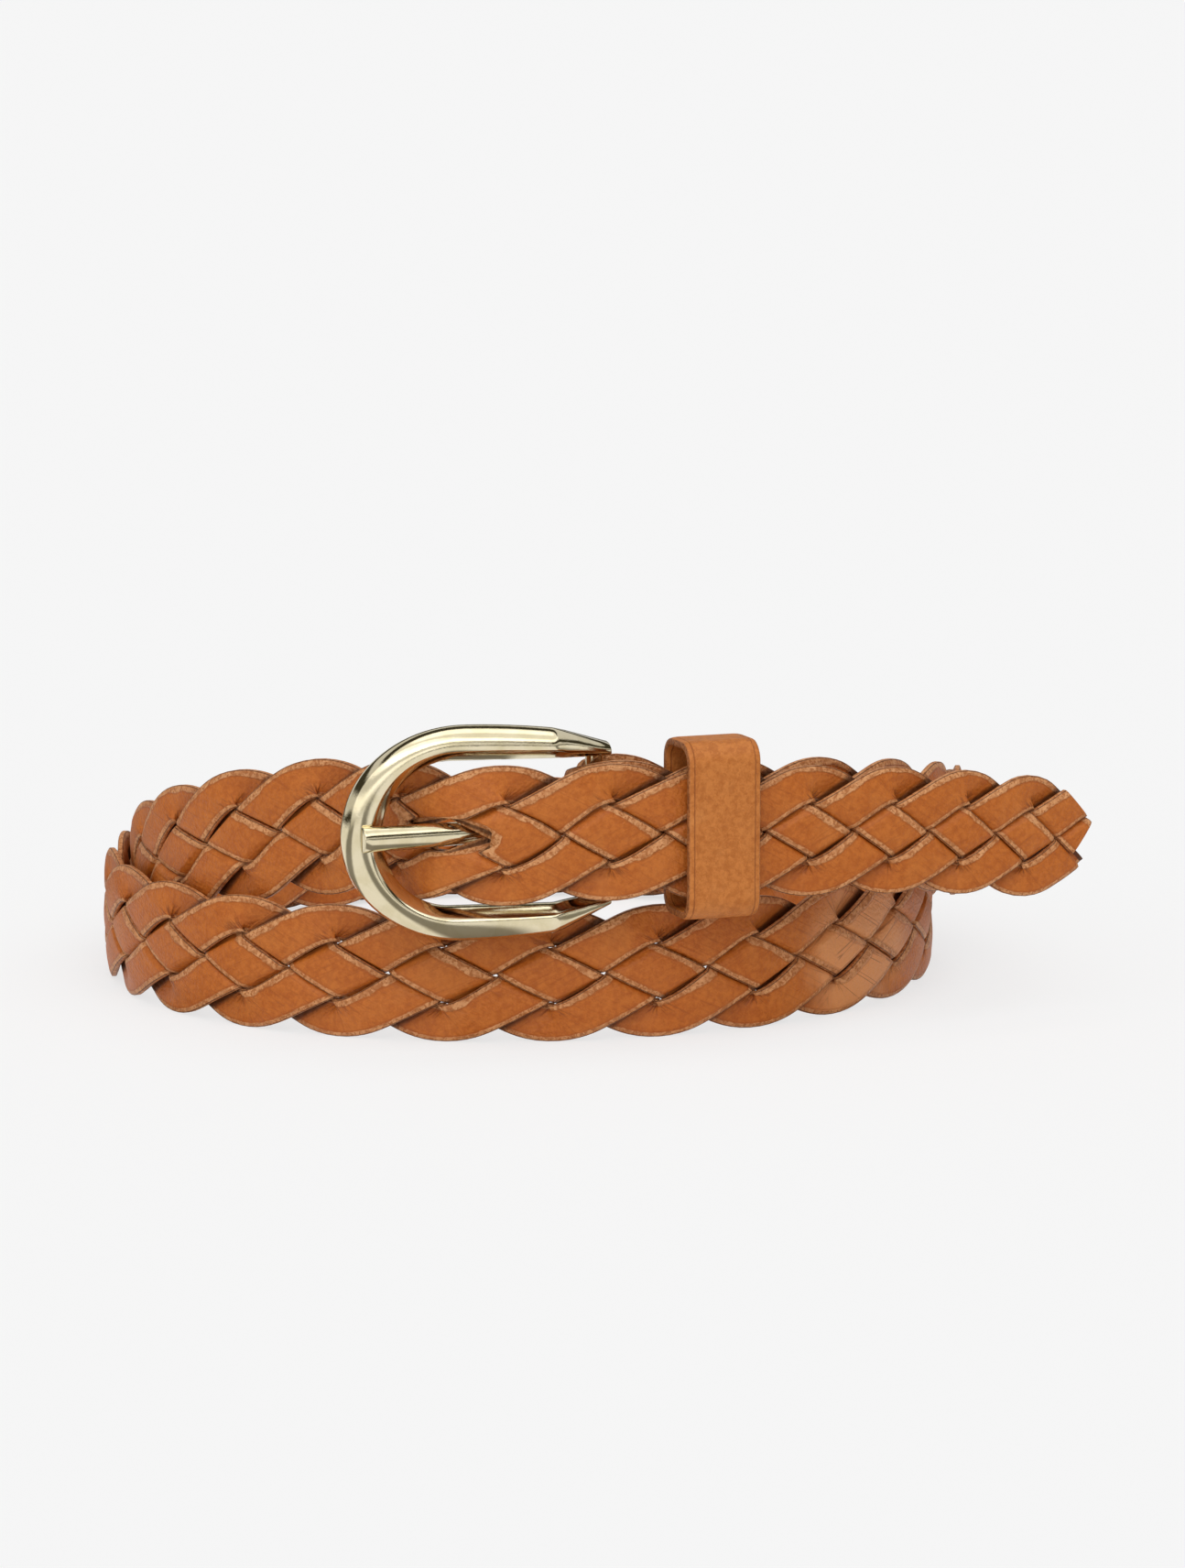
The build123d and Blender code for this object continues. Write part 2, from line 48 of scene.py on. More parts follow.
# ---------------------------------------------------------------- the strap, with the frame's sizes
STRAP_WIDTH = 24.0 * MM
STRAND_THICKNESS = 1.5 * MM
STRAND_AIR = 0.3 * MM  # between two strands where they cross
SIDE_AIR = 1.4 * MM  # between two strands side by side, in the frame
LAYER_AIR = 0.5 * MM  # between two layers of strap
BRAID_PITCH = 19.5 * MM  # from one lobe to the next along an edge
LOBE_REACH_SHARE = 0.355  # how far a strand's middle swings to each side, as a share of the strap's width
SHARPNESS = 0.07  # how much straighter a strand is between its lobes
TAIL_LENGTH = 15.0 * MM  # folded back behind the bar
TIP_LENGTH = 78.0 * MM  # straight run past the coil
TIP_RADIUS = 400.0 * MM  # of its slight bend
TIP_DROP = 7.2 * MM
TIP_TIGHTNESS = 0.6  # how much faster the braid turns at the tip than along the coil
TIP_NARROWING = 0.1
GAP_WIDENING = 0.04  # how much broader the braid is at the prong's gap
WIDENING_LENGTH = 30.0 * MM
COIL_RADIUS = 75.0 * MM  # of the lower turn at the front
TURN_GAP = 3.1 * MM  # between the two turns at the front, one above the other
RIGHT_SLOPE = (18.0, 165.0)  # degrees between which the upper turn comes down on the right
LEFT_SLOPE = (10.0, 122.0)  # and goes up on the left
BAR_ANGLE = 11.4  # degrees round the coil from its front
PRONG_GAP_ANGLE = -7.4
KEEPER_ANGLE = 26.3
BAR_RADIUS = 1.6 * MM
SLOT_HALF = (10.0 * MM, 3.4 * MM)  # half length and half height of the slot in the fold, for the prong
PRONG_GAP_HALF = (9.5 * MM, 3.0 * MM)  # and of the gap that the prong comes out through
GAP_SPREAD = 3.5  # how far along the strap a gap pushes the braid, in half lengths
STRANDS = 4
LEAN_RATE = 2.2  # how soon a section leans to its full angle as the strand turns
LOBE_FULLNESS = 3  # the higher, the shorter the stretch where a strand is at its full width
END_TRIM = 4.0 * MM
COIL_SAMPLES, TIP_SAMPLES = 1500, 80  # of the middle line

STRAP_THICKNESS = 2 * STRAND_THICKNESS + STRAND_AIR
LAYER = STRAP_THICKNESS + LAYER_AIR
FOLD_RADIUS = BAR_RADIUS + LAYER_AIR + STRAP_THICKNESS / 2
FOLD_LENGTH = math.pi * FOLD_RADIUS
LOWER_Z = STRAP_WIDTH / 2
UPPER_Z = LOWER_Z + STRAP_WIDTH + TURN_GAP

# the middle line, as degrees round the coil and millimetres outside the coil's radius
BAR_OFFSET = 1.6
KEEPER_OFFSET = 3.8
PRONG_LIFT = 1.4  # of the outer layer at the bar, for the prong
GAP_OFFSET = 7.7  # where the prong comes out through the strap
OVER_PRONG_OFFSET = 8.9
ROUTE = [
    (BAR_ANGLE, BAR_OFFSET),
    (KEEPER_ANGLE, KEEPER_OFFSET),
    (60, 7.6),
    (90, 8.6),
    (135, 5.8),
    (180, 3.6),
    (225, 2.0),
    (270, 1.3),
    (315, 0.6),
    (360, -3.0),
    (405, -1.0),
    (450, 2.4),
    (495, 1.6),
    (540, -0.4),
    (585, -2.2),
    (630, -3.7),
    (675, -3.4),
    (704, 2.2),
    (TWO_TURNS + PRONG_GAP_ANGLE, GAP_OFFSET),
    (TWO_TURNS, OVER_PRONG_OFFSET),
    (TWO_TURNS + BAR_ANGLE, BAR_OFFSET + LAYER / MM + PRONG_LIFT),
    (TWO_TURNS + KEEPER_ANGLE, KEEPER_OFFSET + LAYER / MM),
]


def natural_cubic(xs, ys, at):
    """A smooth curve through the points, read at many places."""
    h = np.diff(xs)
    n = len(xs)
    a = np.eye(n)
    b = np.zeros(n)
    for i in range(1, n - 1):
        a[i, i - 1 : i + 2] = h[i - 1], 2 * (h[i - 1] + h[i]), h[i]
        b[i] = 6 * ((ys[i + 1] - ys[i]) / h[i] - (ys[i] - ys[i - 1]) / h[i - 1])
    m = np.linalg.solve(a, b)
    i = np.clip(np.searchsorted(xs, at) - 1, 0, n - 2)
    left, right = at - xs[i], xs[i + 1] - at
    return (
        (m[i] * right**3 + m[i + 1] * left**3) / (6 * h[i])
        + (ys[i] / h[i] - m[i] * h[i] / 6) * right
        + (ys[i + 1] / h[i] - m[i + 1] * h[i] / 6) * left
    )


def centreline():
    """The strap's middle line from the bar to the tip: its lengths, points, directions and coil angles."""
    route = np.array(ROUTE, float)
    angles = np.linspace(route[0, 0], route[-1, 0], COIL_SAMPLES)
    radius = COIL_RADIUS + MM * natural_cubic(route[:, 0], route[:, 1], angles)
    right = np.clip((angles - RIGHT_SLOPE[0]) / (RIGHT_SLOPE[1] - RIGHT_SLOPE[0]), 0, 1)
    left = np.clip((np.abs(TWO_TURNS - angles) - LEFT_SLOPE[0]) / (LEFT_SLOPE[1] - LEFT_SLOPE[0]), 0, 1)
    share = np.where(angles < ONE_TURN, right, left)
    height = LOWER_Z + (UPPER_Z - LOWER_Z) * (1 + np.cos(math.pi * share)) / 2
    turn = np.radians(angles)
    coil = np.stack([radius * np.sin(turn), -radius * np.cos(turn), height], 1)
    (x0, y0, _), (x1, y1, z1) = coil[-2:]
    heading = math.atan2(y1 - y0, x1 - x0)
    share = np.linspace(0, 1, TIP_SAMPLES)[1:]
    turned = heading + TIP_LENGTH * share / TIP_RADIUS
    tip = np.stack(
        [
            x1 + TIP_RADIUS * (np.sin(turned) - math.sin(heading)),
            y1 - TIP_RADIUS * (np.cos(turned) - math.cos(heading)),
            z1 - TIP_DROP * share**2,
        ],
        1,
    )
    points = np.concatenate([coil, tip])
    s = np.concatenate([[0], np.cumsum(np.linalg.norm(np.diff(points, axis=0), axis=1))])
    tangents = np.gradient(points, s, axis=0)
    tangents /= np.linalg.norm(tangents, axis=1)[:, None]
    return s, points, tangents, angles


LINE_S, LINE_POINTS, LINE_TANGENTS, LINE_ANGLES = centreline()
LENGTH = LINE_S[-1]


def unit(v):
    return v / np.linalg.norm(v, axis=1)[:, None]


def at_length(s, rows):
    """Rows of the middle line's points or directions, at lengths along it."""
    return np.stack([np.interp(s, LINE_S, c) for c in rows.T], 1)


def at_angle(angle, values):
    """One of the middle line's values, at an angle round the coil."""
    return float(np.interp(angle, LINE_ANGLES, values[: len(LINE_ANGLES)]))


def place(s, across, out):
    """World positions of points of the strap: s along it, across it (up) and out from its middle."""
    folded = s < 0
    tail = s < -FOLD_LENGTH
    at = np.where(tail, -FOLD_LENGTH - s, np.maximum(s, 0))
    point, t = at_length(at, LINE_POINTS), unit(at_length(at, LINE_TANGENTS))
    normal = unit(np.stack([t[:, 1], -t[:, 0], 0 * at], 1))
    up = np.cross(normal, t)
    turn = np.where(tail, math.pi, np.where(folded, -s / FOLD_RADIUS, 0))[:, None]
    axis = point - FOLD_RADIUS * normal
    spoke = np.cos(turn) * normal - np.where(tail[:, None], 0, np.sin(turn)) * t
    return axis + (FOLD_RADIUS + out[:, None]) * spoke + across[:, None] * up


# ---------------------------------------------------------------- the braid
S_START = -FOLD_LENGTH - TAIL_LENGTH
S_FOLD = -FOLD_LENGTH / 2
S_PRONG = at_angle(TWO_TURNS + PRONG_GAP_ANGLE, LINE_S)
S_KEEPER = at_angle(TWO_TURNS + KEEPER_ANGLE, LINE_S)
CROSSINGS = round((S_PRONG - S_FOLD) / BRAID_PITCH)
PITCH = (S_PRONG - S_FOLD) / CROSSINGS
CROSSING_OUT = (STRAND_THICKNESS + STRAND_AIR) / 2
# phases at which a strand crosses another, and 1 where it passes over it or -1 where it passes under
CROSSES = [(1 / 8, 1), (1 / 4, -1), (3 / 8, 1), (5 / 8, -1), (3 / 4, 1), (7 / 8, -1)]


def tip_share(s):
    """0 up to the keeper, and 1 at the tip's end."""
    return np.clip((s - S_KEEPER) / (LENGTH - S_KEEPER), 0, 1)


def lobes_at(s):
    """How many lobes the braid has from the fold to here."""
    past = tip_share(s) * (LENGTH - S_KEEPER)
    return (s - S_FOLD + TIP_TIGHTNESS * past * tip_share(s) / 2) / PITCH


def local_pitch(s):
    return PITCH / (1 + TIP_TIGHTNESS * tip_share(s))


def local_width(s):
    widening = GAP_WIDENING * np.exp(-(((s - S_PRONG) / WIDENING_LENGTH) ** 2))
    return STRAP_WIDTH * (1 + widening - TIP_NARROWING * tip_share(s))


def strand_path(index, s):
    """Where a strand's middle is across, its slope, and its phase: 0 at a lower lobe, 0.5 at an upper."""
    phase = (lobes_at(s) + index + 0.5) / STRANDS
    turn = 2 * math.pi * phase
    reach = LOBE_REACH_SHARE * local_width(s)
    across = -reach * (np.cos(turn) + SHARPNESS * np.cos(3 * turn)) / (1 + SHARPNESS)
    rise = reach * (np.sin(turn) + 3 * SHARPNESS * np.sin(3 * turn)) / (1 + SHARPNESS)
    return across, rise * 2 * math.pi / (STRANDS * local_pitch(s)), phase


def steepest(s):
    """The angle at which a strand runs between its lobes."""
    reach = LOBE_REACH_SHARE * local_width(s)
    slope = reach * (1 - 3 * SHARPNESS) / (1 + SHARPNESS) * 2 * math.pi / (STRANDS * local_pitch(s))
    return np.arctan(slope)


def smooth_step(share):
    share = np.clip(share, 0, 1)
    return share * share * (3 - 2 * share)


def side_at(phase, s):
    """+1 where a strand passes over another, -1 where it passes under, and how near it is to a crossing."""
    width = local_pitch(s) * np.sin(steepest(s)) - SIDE_AIR
    half = width / (4 * np.sin(steepest(s))) / (STRANDS * local_pitch(s))
    phase = phase % 1.0
    side, near = np.zeros_like(phase), np.zeros_like(phase)
    ring = [(CROSSES[-1][0] - 1, CROSSES[-1][1])] + CROSSES + [(CROSSES[0][0] + 1, CROSSES[0][1])]
    for (a, before), (b, after) in zip(ring, ring[1:]):
        here = (phase >= a) & (phase <= b)
        share = (phase - a - half) / (b - a - 2 * half)
        side = np.where(here, before + (after - before) * smooth_step(share), side)
    for cross, _ in ring:
        near = np.maximum(near, np.clip(1 - ((phase - cross) / half) ** 2, 0, 1) ** 2)
    return side, near


def open_gap(s, across, centre, half_long, half_high):
    """Pushes the braid apart round a gap, by less the further away it is."""
    ds, dv = s - centre, across
    far = np.hypot(ds / (GAP_SPREAD * half_long), dv / (STRAP_WIDTH / 2))
    fade = np.maximum(0.0, 1 - far * far) ** 2
    size = np.maximum(np.hypot(ds / half_long, dv / half_high), NEARLY_ZERO)
    push = 1 + fade * (np.sqrt(size * size + 1) / size - 1)
    return centre + ds * push, dv * push


# ---------------------------------------------------------------- shared shaping
SHARP_ANGLE = 1.0  # radians between two faces, past which their edge is a corner to ease
MERGE_DISTANCE = 0.01 * MM
NOISE_VALUES = 4096


def new_object(name, bm):
    """An object at the origin, made from a bmesh and put in the scene."""
    mesh = bpy.data.meshes.new(name)
    bm.to_mesh(mesh)
    bm.free()
    obj = bpy.data.objects.new(name, mesh)
    bpy.context.scene.collection.objects.link(obj)
    return obj


def ease(bm, edges, offset):
    """Rounds edges off a little."""
    bmesh.ops.bevel(
        bm, geom=edges, affect="EDGES", offset=offset, segments=2, profile=0.5, material=-1
    )


def edge_fall(y, reach):
    """1 at a strip's cut edges, and 0 from the reach inwards."""
    return np.clip(1 - (np.abs(y).max() - np.abs(y)) / reach, 0, 1)


def smooth_noise(x, seed):
    """A gentle random curve through values at whole numbers, from -1 to 1."""
    values = np.random.default_rng(seed).uniform(-1, 1, NOISE_VALUES)
    i = np.floor(x).astype(int)
    share = smooth_step(x - i)
    return values[i % NOISE_VALUES] * (1 - share) + values[(i + 1) % NOISE_VALUES] * share


# ---------------------------------------------------------------- strips of leather
EDGE_ROUND = 0.14 * MM  # the bevel on a cut edge
STRIP_COLUMNS = 16
COLUMN_CROWDING = 1.6  # how much closer the columns of faces are near the cut edges


def flat_strip(length, width, step, thickness):
    """A flat strip of leather with eased edges, finer near them: x along it, y across it, z through it."""
    bm = bmesh.new()
    bmesh.ops.create_grid(bm, x_segments=round(length / step), y_segments=STRIP_COLUMNS, size=0.5)
    for v in bm.verts:
        v.co.y *= 1 + COLUMN_CROWDING / 4 - COLUMN_CROWDING * v.co.y**2
    bmesh.ops.scale(bm, vec=(length, width, 1), verts=bm.verts)
    bmesh.ops.translate(bm, vec=(length / 2, 0, thickness / 2), verts=bm.verts)
    bmesh.ops.solidify(bm, geom=bm.faces[:], thickness=thickness)
    corners = [e for e in bm.edges if len(e.link_faces) == 2 and e.calc_face_angle() > SHARP_ANGLE]
    ease(bm, corners, EDGE_ROUND)
    return bm


def finish_strip(bm, name, points, shares):
    """Makes a bent strip an object, with its flat shape as a UV map and each share as an attribute."""
    uv = bm.loops.layers.uv.new("strip")
    for face in bm.faces:
        for loop in face.loops:
            loop[uv].uv = loop.vert.co.x, loop.vert.co.y
    for v, p in zip(bm.verts, points):
        v.co = p
    obj = new_object(name, bm)
    obj.data.shade_smooth()
    for label, values in shares.items():
        layer = obj.data.attributes.new(label, "FLOAT", "POINT")
        layer.data.foreach_set("value", values.astype(np.float32))
    return obj


# ---------------------------------------------------------------- the strands
LEATHER_THICKNESS = 1.45 * MM
EDGE_FALL = 0.3 * MM  # how much each face draws in towards a cut edge
EDGE_REACH = 1.3 * MM
CUP = 0.18 * MM  # how far a strand bulges across its middle
ARCH = 0.16 * MM  # and where it crosses another
LOOKS_AIR = 0.15 * MM  # between two strands side by side
STRAND_LENGTH = 1360.0 * MM  # of a strand laid straight
STRIP_STEP = 0.9 * MM
RUN_SAMPLES = 12000

# each strand's cut end: its place before the tip's end, and how much its upper corner is cut back
TIP_TRIMS = (5.2 * MM, 6.8 * MM, 3.3 * MM, 7.6 * MM)
TIP_SLANTS = (0.0, 0.0, 3.6 * MM, 0.8 * MM)
SLANT_LENGTH = 8.0 * MM

# the braid stands out a little more where the prong goes in behind it
PRONG_ROOM = 0.8 * MM
PRONG_ROOM_FROM_GAP = 7.0 * MM
PRONG_ROOM_SIZE = 7.0 * MM

CREASE_BIAS = 0.4  # 0 creases only the inner half of a turn, and 1 all of it
WRINKLE_DEPTH = 0.08 * MM
WRINKLE_LENGTH = 2.1 * MM
WRINKLE_WANDER = 2.5  # radians
WANDER_LENGTH = 3.0 * MM
WRINKLE_PATCH = 9.0 * MM  # between well and hardly wrinkled places
WAVINESS = 0.1 * MM
WAVE_LENGTH = 11.0 * MM
TWIST_LENGTH = 8.0 * MM
WAVE_SEED, TWIST_SEED, WANDER_SEED, PATCH_SEED, KEEPER_SEED = 0, 20, 50, 60, 90


def braid_strip(index, flat):
    """Bends a flat strip's points into the braid. Says where it is tucked under and where it creases."""
    s_fine = np.linspace(S_START + END_TRIM, LENGTH - TIP_TRIMS[index], RUN_SAMPLES)
    slope_fine = strand_path(index, s_fine)[1]
    run = np.concatenate([[0], np.cumsum(np.diff(s_fine) * np.hypot(1, slope_fine)[1:])])
    x, y, z = flat.T
    w = y / np.abs(y).max()
    near_end = np.clip(1 - (x.max() - x) / SLANT_LENGTH, 0, 1) ** 2
    cut_back = TIP_SLANTS[index] * (1 + w) / 2 * near_end
    s = np.interp((x - cut_back) / x.max(), run / run[-1], s_fine)

    # its place in the braid: half its width each way along a line that leans as the strand turns
    across, slope, phase = strand_path(index, s)
    angle = np.arctan(slope)
    limit = steepest(s)
    lean = (math.pi / 2 - limit) * np.tanh(LEAN_RATE * angle / limit) / math.tanh(LEAN_RATE)
    ruling = math.pi / 2 + lean
    straight = local_pitch(s) * np.sin(limit) - LOOKS_AIR
    lobe = local_width(s) * (1 - 2 * LOBE_REACH_SHARE)
    turned = np.abs(np.cos(2 * math.pi * phase)) ** LOBE_FULLNESS
    half = (straight + (lobe - straight) * turned) / 2 / np.sin(ruling - angle)
    ps, pv = s + half * w * np.cos(ruling), across + half * w * np.sin(ruling)
    ps, pv = open_gap(ps, pv, S_FOLD, *SLOT_HALF)
    ps, pv = open_gap(ps, pv, S_PRONG, *PRONG_GAP_HALF)

    # how far out it lies, and its own unevenness
    side, near = side_at(phase, s)
    crease = smooth_step(CREASE_BIAS + (1 - CREASE_BIAS) * w * np.cos(2 * math.pi * phase)) * turned
    wander = WRINKLE_WANDER * smooth_noise(x / WANDER_LENGTH, WANDER_SEED + index)
    ripple = np.sin(2 * math.pi * x / WRINKLE_LENGTH + wander)
    fitful = 0.5 + 0.5 * smooth_noise(x / WRINKLE_PATCH, PATCH_SEED + index)
    wrinkle = WRINKLE_DEPTH * crease * fitful * ripple
    twist = w * smooth_noise(x / TWIST_LENGTH, TWIST_SEED + index)
    wave = WAVINESS * (smooth_noise(x / WAVE_LENGTH, WAVE_SEED + index) + twist)
    drawn_in = 1 - 2 * EDGE_FALL / LEATHER_THICKNESS * edge_fall(y, EDGE_REACH) ** 2
    bulge = side * (CUP * (1 - w * w) + ARCH * near)
    from_prong = np.hypot(ps - S_PRONG - PRONG_ROOM_FROM_GAP, pv) / PRONG_ROOM_SIZE
    room = PRONG_ROOM * np.exp(-(from_prong**2))
    out = CROSSING_OUT * side + bulge + room + z * drawn_in + wrinkle + wave
    tuck = (1 - side * np.sign(z)) / 2
    return place(ps, pv, out), tuck, crease


def strand(index):
    """One strand of the braid: a long strip of leather."""
    width = PITCH * math.sin(float(steepest(np.array(0.0)))) - SIDE_AIR
    bm = flat_strip(STRAND_LENGTH, width, STRIP_STEP, LEATHER_THICKNESS)
    flat = np.array([v.co[:] for v in bm.verts])
    points, tuck, crease = braid_strip(index, flat)
    shares = {"edge": edge_fall(flat[:, 1], 2 * EDGE_REACH), "tuck": tuck, "crease": crease}
    return finish_strip(bm, f"leather_strand_{index + 1}", points, shares)


# ---------------------------------------------------------------- the keeper
KEEPER_WIDTH = 13.5 * MM
KEEPER_THICKNESS = 1.6 * MM
KEEPER_DEPTH = 11.4 * MM  # to the middle of its walls, and so is its height
KEEPER_HEIGHT = 30.3 * MM
KEEPER_CORNER = 3.15 * MM
KEEPER_STEP = 0.5 * MM
KEEPER_END_GAP = 0.0015  # left open at each end, as a share of its length
KEEPER_EDGE_REACH = 1.6 * MM
KEEPER_EDGE_FALL = 0.3  # as a share of its thickness
KEEPER_WAVINESS = 0.12 * MM
KEEPER_WAVE_LENGTH = 9.0 * MM


def rounded_loop(share, wide, high, corner):
    """Points and outward directions round a rounded rectangle, by the share run from its left middle."""
    flat_x, flat_y, arc = wide - 2 * corner, high - 2 * corner, math.pi / 2 * corner
    lengths = [flat_y / 2, arc, flat_x, arc, flat_y, arc, flat_x, arc, flat_y / 2]
    ends = np.concatenate([[0], np.cumsum(lengths)])
    run = share * ends[-1]
    x, y, heading = np.zeros_like(run), np.zeros_like(run), np.zeros_like(run)
    at, turn = np.array([-wide / 2, 0.0]), math.pi / 2
    for i, length in enumerate(lengths):
        here = (run >= ends[i]) & (run <= ends[i + 1])
        d = run[here] - ends[i]
        if i % 2:
            centre = at + corner * np.array([math.sin(turn), -math.cos(turn)])
            heading[here] = turn - d / corner
            x[here] = centre[0] - corner * np.sin(heading[here])
            y[here] = centre[1] + corner * np.cos(heading[here])
            turn -= math.pi / 2
            at = centre + corner * np.array([-math.sin(turn), math.cos(turn)])
        else:
            heading[here] = turn
            x[here] = at[0] + d * math.cos(turn)
            y[here] = at[1] + d * math.sin(turn)
            at = at + length * np.array([math.cos(turn), math.sin(turn)])
    return x, y, -np.sin(heading), np.cos(heading)


def keeper():
    """The keeper: a short strap of plain leather bent round both layers, its ends meeting at the back."""
    length = 2 * (KEEPER_DEPTH + KEEPER_HEIGHT) - (8 - 2 * math.pi) * KEEPER_CORNER
    bm = flat_strip(length, KEEPER_WIDTH, KEEPER_STEP, KEEPER_THICKNESS)
    x, y, z = np.array([v.co[:] for v in bm.verts]).T
    share = KEEPER_END_GAP + (1 - 2 * KEEPER_END_GAP) * x / x.max()
    px, py, nx, ny = rounded_loop(share, KEEPER_DEPTH, KEEPER_HEIGHT, KEEPER_CORNER)
    edge = edge_fall(y, KEEPER_EDGE_REACH)
    wave = KEEPER_WAVINESS * smooth_noise(x / KEEPER_WAVE_LENGTH, KEEPER_SEED) * (y / KEEPER_WIDTH)
    out = z * (1 - KEEPER_EDGE_FALL * edge**2) + wave
    px, py = px + out * nx, py + out * ny
    along = np.array([at_angle(KEEPER_ANGLE, c) for c in LINE_TANGENTS.T])
    along[2] = 0
    along /= np.linalg.norm(along)
    normal = np.array([along[1], -along[0], 0])
    middle = np.array([at_angle(KEEPER_ANGLE, c) for c in LINE_POINTS.T]) + LAYER / 2 * normal
    up = np.array([0, 0, 1])
    points = middle + px[:, None] * normal + py[:, None] * up + y[:, None] * along
    return finish_strip(bm, "keeper_loop", points, {"edge": edge})


# ---------------------------------------------------------------- the buckle
FRAME_HALF = 19.2 * MM  # half its height
FRAME_REACH = 46.0 * MM  # from the bar to its curved end
FRAME_TURN = math.radians(10)
CURVE_LENGTH = 22.0 * MM
OPENING_HALF = 12.9 * MM
OPENING_REACH = 38.6 * MM
OPENING_CURVE = 12.0 * MM
ARM_TAPER = 0.9 * MM
LUG_LENGTH = 8.2 * MM
LUG_PAST = 2.7 * MM  # behind the bar
LUG_SIDES = (12.2 * MM, 14.5 * MM)  # a lug's end, from the frame's middle
LUG_DEPTH = 5.2 * MM
FRAME_BACK = 4.1 * MM  # in front of the bar, and so is its front
FRAME_FRONT = 8.5 * MM
PRONG_LENGTH = 43.8 * MM
PRONG_THICKNESS = 2.4 * MM
PRONG_HALVES = (1.75 * MM, 2.3 * MM)  # half its width at the bar and at its end
PRONG_SLOPE = math.atan2(9.82, 41.2)
CAP_BEVEL = 0.15 * MM

# sections as shares of the width outwards, and of the depth from back to front
FRAME_SECTION = [
    (0.05, 0), (0, 0.1), (0, 0.36), (0.06, 0.5), (0.29, 0.93), (0.35, 0.99), (0.41, 1), (0.58, 0.98),
    (0.74, 0.88), (0.88, 0.69), (0.97, 0.45), (1, 0.24), (0.98, 0.08), (0.9, 0), (0.45, 0),
]
LUG_SECTION = [
    (0.06, 0), (0, 0.06), (0, 0.42), (0.03, 0.52), (0.24, 0.92), (0.3, 0.98), (0.38, 1), (0.6, 1),
    (0.7, 0.98), (0.84, 0.84), (0.96, 0.64), (1, 0.52), (1, 0.08), (0.93, 0), (0.5, 0),
]
PRONG_SECTION = [
    (0.12, 0), (0.02, 0.14), (0, 0.36), (0.06, 0.6), (0.18, 0.82), (0.34, 0.95), (0.5, 1), (0.66, 0.95),
    (0.82, 0.82), (0.94, 0.6), (1, 0.36), (0.98, 0.14), (0.88, 0),
]

# places of the rings, as shares of each length
CURVE_RINGS = 25
ARM_RINGS = (0.12, 0.25, 0.38, 0.5, 0.62, 0.75, 0.88, 0.95, 0.985)
LUG_RINGS = (0.02, 0.06, 0.2, 0.4, 0.6, 0.8, 1.0)
LUG_CHANGE = 0.2  # the share of a lug over which the frame's section becomes its own
PRONG_RINGS = (0.03, 0.2, 0.4, 0.6, 0.8, 0.9, 0.97, 1.0)


def buckle_place(points):
    """From the buckle's own plane, with the bar at x = 0, y up and z forwards, to the world."""
    bar_point, bar_along = LINE_POINTS[0], LINE_TANGENTS[0]
    normal = unit(np.array([[bar_along[1], -bar_along[0], 0.0]]))[0]
    origin = bar_point - FOLD_RADIUS * normal
    x_dir = np.array([math.cos(FRAME_TURN), math.sin(FRAME_TURN), 0])
    y_dir = np.array([0, 0, 1])
    z_dir = np.array([math.sin(FRAME_TURN), -math.cos(FRAME_TURN), 0])
    return origin + points[..., :1] * x_dir + points[..., 1:2] * y_dir + points[..., 2:] * z_dir


def ring_tube(name, rings):
    """A closed form through rings of points, each ring's last point on its first, with flat ends."""
    count, around = rings.shape[:2]
    bm = bmesh.new()
    bmesh.ops.create_grid(bm, x_segments=count - 1, y_segments=around - 1, size=1)
    for v in bm.verts:
        i, j = round((v.co.x + 1) / 2 * (count - 1)), round((v.co.y + 1) / 2 * (around - 1))
        v.co = rings[i, j]
    bmesh.ops.remove_doubles(bm, verts=bm.verts, dist=MERGE_DISTANCE)
    rims = [e for e in bm.edges if e.is_boundary]
    bmesh.ops.holes_fill(bm, edges=rims, sides=0)
    ease(bm, rims, CAP_BEVEL)
    bmesh.ops.recalc_face_normals(bm, faces=bm.faces)
    obj = new_object(name, bm)
    obj.data.shade_smooth()
    return obj


